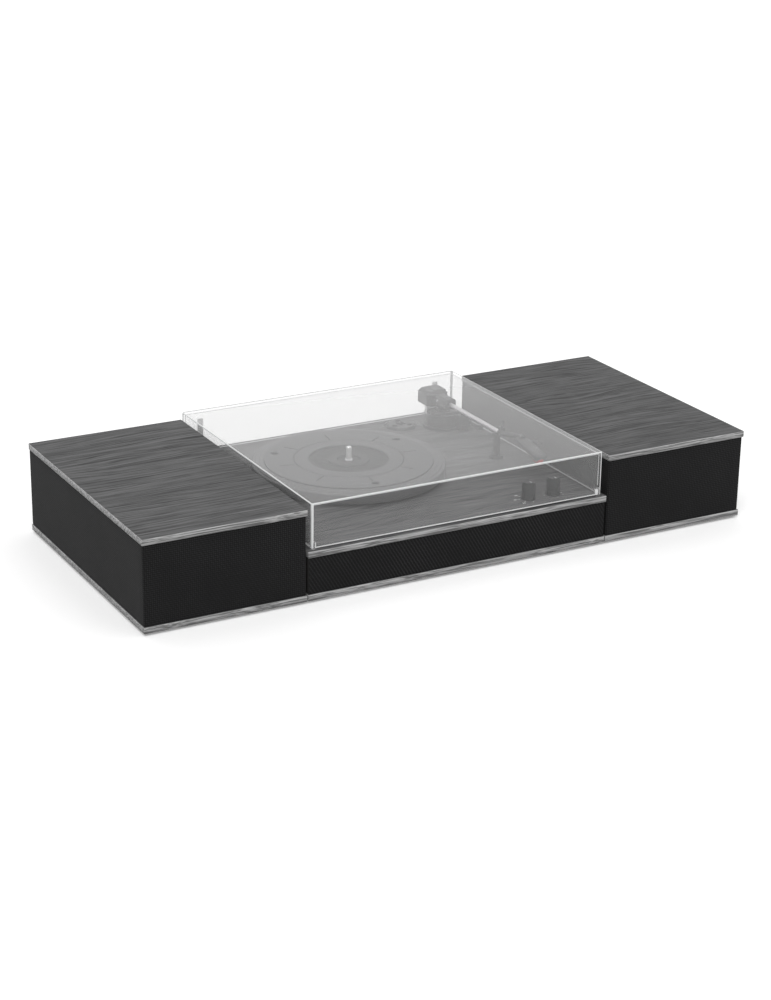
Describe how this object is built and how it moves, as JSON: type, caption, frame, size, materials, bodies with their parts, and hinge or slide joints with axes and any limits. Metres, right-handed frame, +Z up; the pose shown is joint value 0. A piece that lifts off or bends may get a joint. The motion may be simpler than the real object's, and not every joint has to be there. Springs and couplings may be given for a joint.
{
  "type": "record player",
  "caption": "Low record player with a hinged clear cover, belt-driven platter, straight tone arm and two control knobs, standing between two cloth-fronted loudspeaker boxes.",
  "frame": {"origin": "middle of the whole footprint, on the floor under the feet", "axes": "+X to the listener's right along the row of three boxes, +Y towards the rear, +Z up"},
  "size_m": [0.82, 0.38, 0.1215],
  "materials": {
    "dark_wood": "matt grey-stained ash with open grain",
    "inner_wood": "unfinished fibreboard",
    "grille_cloth": "black twill cloth",
    "rear_metal": "matt black",
    "socket_metal": "polished",
    "screw_steel": "satin",
    "motor_steel": "satin",
    "hinge_metal": "satin grey",
    "bearing_brass": "turned",
    "foot_rubber": "matt",
    "belt_rubber": "matt",
    "circuit_board": "lacquered",
    "board_components": "matt",
    "clear_cover": "clear acrylic, polished",
    "bumper_plastic": "clear",
    "platter_metal": "turned, satin",
    "mat_rubber": "matt grey",
    "black_plastic": "fine texture",
    "black_metal": "satin",
    "arm_metal": "bright satin",
    "weight_metal": "satin",
    "stylus_red": "glossy",
    "knob_plastic": "satin",
    "adapter_plastic": "satin",
    "cone_paper": "pressed paper"
  },
  "bodies": {
    "cabinet": {"base_board": "dark_wood", "deck_board": "dark_wood", "side_walls": "inner_wood", "front_baffle": "inner_wood", "front_cloth": "grille_cloth", "rear_panel": "rear_metal", "rear_sockets": "socket_metal", "power_inlet": "black_plastic", "player_feet": "foot_rubber", "cabinet_screws": "screw_steel", "bearing_housing": "bearing_brass", "motor": "motor_steel", "motor_screws": "screw_steel", "drive_belt": "belt_rubber", "arm_base": "black_plastic", "arm_rest": "black_plastic", "control_bodies": "motor_steel", "amplifier_board": "circuit_board", "board_standoffs": "screw_steel", "board_parts": "board_components", "hinge_brackets": "hinge_metal", "hinge_pins": "screw_steel"},
    "cover": {"dust_cover": "clear_cover", "cover_bumpers": "bumper_plastic", "hinge_leaves": "hinge_metal"},
    "turntable": {"platter": "platter_metal", "platter_mat": "mat_rubber", "spindle": "screw_steel"},
    "drive_pulley": {"motor_pulley": "bearing_brass"},
    "arm_fork": {"arm_yoke": "black_metal"},
    "arm": {"pivot_block": "black_metal", "pivot_pins": "screw_steel", "arm_tube": "arm_metal", "arm_neck": "black_metal", "headshell": "black_metal", "cartridge": "black_plastic", "stylus": "stylus_red"},
    "weight": {"counterweight": "weight_metal"},
    "lift_bar": {"cue_lift": "black_metal"},
    "lift_lever": {"cue_lever": "black_plastic"},
    "clip": {"rest_clip": "black_plastic"},
    "adapter": {"single_adapter": "adapter_plastic"},
    "speed_control": {"speed_knob": "knob_plastic"},
    "volume_control": {"volume_knob": "knob_plastic"},
    "left_speaker": {"left_top_board": "dark_wood", "left_base_board": "dark_wood", "left_box": "inner_wood", "left_cloth": "grille_cloth", "left_driver_frame": "motor_steel", "left_driver_cone": "cone_paper", "left_terminal_plate": "black_plastic", "left_feet": "foot_rubber"},
    "right_speaker": {"right_top_board": "dark_wood", "right_base_board": "dark_wood", "right_box": "inner_wood", "right_cloth": "grille_cloth", "right_driver_frame": "motor_steel", "right_driver_cone": "cone_paper", "right_terminal_plate": "black_plastic", "right_feet": "foot_rubber"}
  },
  "joints": [
    {"name": "cover hinge", "type": "hinge", "parent": "cabinet", "child": "cover", "pos_m": [0, 0.1845, 0.0725], "axis": [-1, 0, 0], "range_deg": [0, 70]},
    {"name": "platter bearing", "type": "hinge", "parent": "cabinet", "child": "turntable", "pos_m": [-0.041, 0.023, 0.06], "axis": [0, 0, -1], "continuous": true},
    {"name": "motor shaft", "type": "hinge", "parent": "cabinet", "child": "drive_pulley", "pos_m": [-0.11875, 0.08266, 0.06], "axis": [0, 0, -1], "continuous": true},
    {"name": "arm swing", "type": "hinge", "parent": "cabinet", "child": "arm_fork", "pos_m": [0.1555, 0.13, 0.1005], "axis": [0, 0, -1], "range_deg": [0, 48]},
    {"name": "arm lift", "type": "hinge", "parent": "arm_fork", "child": "arm", "pos_m": [0.1555, 0.13, 0.1005], "axis": [-1, 0, 0], "range_deg": [0, 2.8]},
    {"name": "weight shift", "type": "slide", "parent": "arm", "child": "weight", "axis": [0, -1, 0], "range_m": [0, 0.003]},
    {"name": "lift lever", "type": "hinge", "parent": "cabinet", "child": "lift_lever", "pos_m": [0.18, 0.10315, 0.0745], "axis": [-1, 0, 0], "range_deg": [0, 45]},
    {"name": "lift rod", "type": "slide", "parent": "cabinet", "child": "lift_bar", "axis": [0, 0, 1], "range_m": [0, 0.0045]},
    {"name": "rest clip", "type": "hinge", "parent": "cabinet", "child": "clip", "pos_m": [0.1617, -0.01, 0.1035], "axis": [0, -1, 0], "range_deg": [0, 105]},
    {"name": "adapter lift", "type": "slide", "parent": "cabinet", "child": "adapter", "axis": [0, 0, 1], "range_m": [0, 0.03]},
    {"name": "speed knob", "type": "hinge", "parent": "cabinet", "child": "speed_control", "pos_m": [0.1135, -0.155, 0.08], "axis": [0, 0, -1], "range_deg": [0, 150]},
    {"name": "volume knob", "type": "hinge", "parent": "cabinet", "child": "volume_control", "pos_m": [0.149, -0.155, 0.08], "axis": [0, 0, -1], "range_deg": [0, 300]},
    {"name": "left speaker place", "type": "slide", "parent": "cabinet", "child": "left_speaker", "axis": [-1, 0, 0], "range_m": [0, 0.15]},
    {"name": "right speaker place", "type": "slide", "parent": "cabinet", "child": "right_speaker", "axis": [1, 0, 0], "range_m": [0, 0.15]}
  ],
  "couplings": [
    {"joint": "motor shaft", "follows": "platter bearing", "ratio": 14},
    {"joint": "lift rod", "follows": "lift lever", "m_per_rad": 0.0056}
  ]
}
